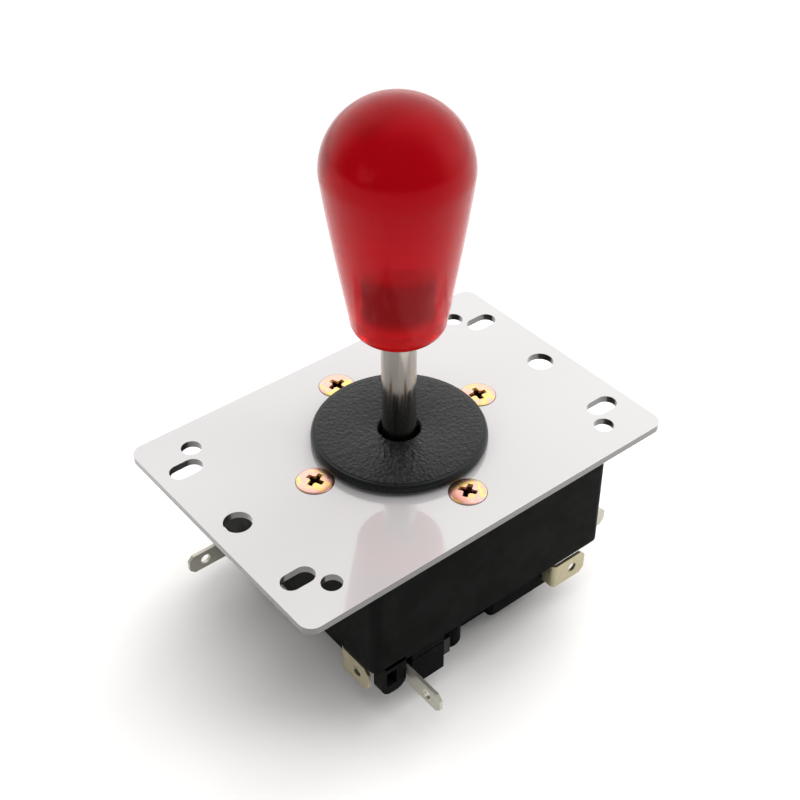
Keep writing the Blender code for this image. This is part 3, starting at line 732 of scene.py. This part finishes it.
# ---------------------------------------------------------------- the switches
def switch(side, name):
    """A switch's case and cover, with a notch for the common blade and a bore for the plunger."""
    outline = arc((4.7, -26.0), 1.2, 180, 270, 6)
    outline += [
        (20.6, -27.2), (20.6, -22.0), (31.3, -22.0), (31.3, -13.4), (28.0, -13.4), (28.0, -11.3),
    ]
    outline += arc((4.7, -12.5), 1.2, 90, 180, 6)
    holes = [circle(along, -out, 1.6, 28) for along, out in PEGS]
    case = slab(f"case_{name}", [outline] + holes, POST_FOOT, 13.75, SWITCH)
    bore = lathe("bore", [(0, 1.0), (1.9, 1.0), (1.9, -6.5), (0, -6.5)], SWITCH, 32)
    mouth = shift(10.4, -11.8, SWITCH_MID - 1.2)
    bore.data.transform(mouth @ Matrix.Rotation(-QUARTER, 4, "X"))
    combine(case, [bore], "DIFFERENCE")
    round_edges(case, 0.2, angle=50)
    turn_side(case, side)
    stand_for(case, f"switch_case_{name}", "base")
    cover = slab(f"cover_{name}", [outline] + holes, 14.05, 16.1, SWITCH)
    round_edges(cover, 0.2)
    turn_side(cover, side)
    stand_for(cover, f"switch_cover_{name}", "base")


def blade_common(side, name):
    """The blade that leaves the switch endways, with chamfers and a wire hole."""
    low, high, tip = 8.55, 13.35, 42.0
    outline = [
        (20.7, low), (40.8, low), (tip, low + 1.2), (tip, high - 1.2), (40.8, high), (20.7, high),
    ]
    hole = circle(37.8, SWITCH_MID, BLADE_HOLE, 28)
    upright = Matrix.Rotation(QUARTER, 3, "X")
    blade = slab(
        f"blade_common_{name}", [outline, hole], -BLADE_HALF, BLADE_HALF, COMMON,
        turn=upright, at=(0, -23.2, 0),
    )
    round_edges(blade, 0.12)
    turn_side(blade, side)
    stand_for(blade, f"terminal_common_{name}", "base")


def blade_open(side, name):
    """The blade at the switch's base, which bends to run along it."""
    root, line, tip, half = 27.3, 30.65, 28.0, BLADE_HALF
    bend_at = (19.8, -line + 0.8)
    outer, inner = 1.2, 0.4
    outline = [(bend_at[0] - outer, -root)] + arc(bend_at, outer, 180, 270, 8)
    outline += [(tip, -line - half), (tip, -line + half)]
    outline += arc(bend_at, inner, 270, 180, 6) + [(bend_at[0] - inner, -root)]
    half_width = 3.15
    low, high = SWITCH_MID - half_width, SWITCH_MID + half_width
    blade = slab(f"blade_open_{name}", [outline], low, high, OPEN)
    hole = lathe("hole", [(0, 2), (BLADE_HOLE, 2), (BLADE_HOLE, -2), (0, -2)], OPEN, 28)
    hole_at = shift(tip - 3.8, -line, SWITCH_MID)
    hole.data.transform(hole_at @ Matrix.Rotation(QUARTER, 4, "X"))
    cutters = [hole]
    for sign in (-1, 1):
        corner = box(f"corner_{sign}", (-0.9, -2, -0.9), (0.9, 2, 0.9), OPEN)
        spot = shift(tip, -line, SWITCH_MID + sign * half_width)
        corner.data.transform(spot @ Matrix.Rotation(QUARTER / 2, 4, "Y"))
        cutters.append(corner)
    combine(blade, cutters, "DIFFERENCE")
    round_edges(blade, 0.1)
    turn_side(blade, side)
    stand_for(blade, f"terminal_open_{name}", "base")


# ---------------------------------------------------------------- carried-over CAD pieces
def dress(node, material):
    obj = NODES[node]
    obj.data.materials.clear()
    obj.data.materials.append(material)


def dress_cad():
    for name in SIDES:
        dress(f"square_nut_{name}", PLAIN)
        dress(f"gate_screw_{name}", PLAIN)
        dress(f"switch_lever_{name}", DARK)
        dress(f"switch_plunger_{name}", RED_NYLON)
    for node in ("trunnion_pin_left", "trunnion_pin_right", "cross_pin"):
        dress(node, PLAIN)
    for node in ("gimbal_ring", "pivot_block", "spring_seat", "actuator"):
        dress(node, NYLON)
    for node in ("return_spring", "e_clip"):
        dress(node, SPRING)
    dress("felt_slip_ring", FELT)


make_camera()
make_stage()
handle()
stick()
washer()
plate()
plate_screws()
housing()
gate()
for index, side_name in enumerate(SIDES):
    switch(index, side_name)
    blade_common(index, side_name)
    blade_open(index, side_name)
dress_cad()
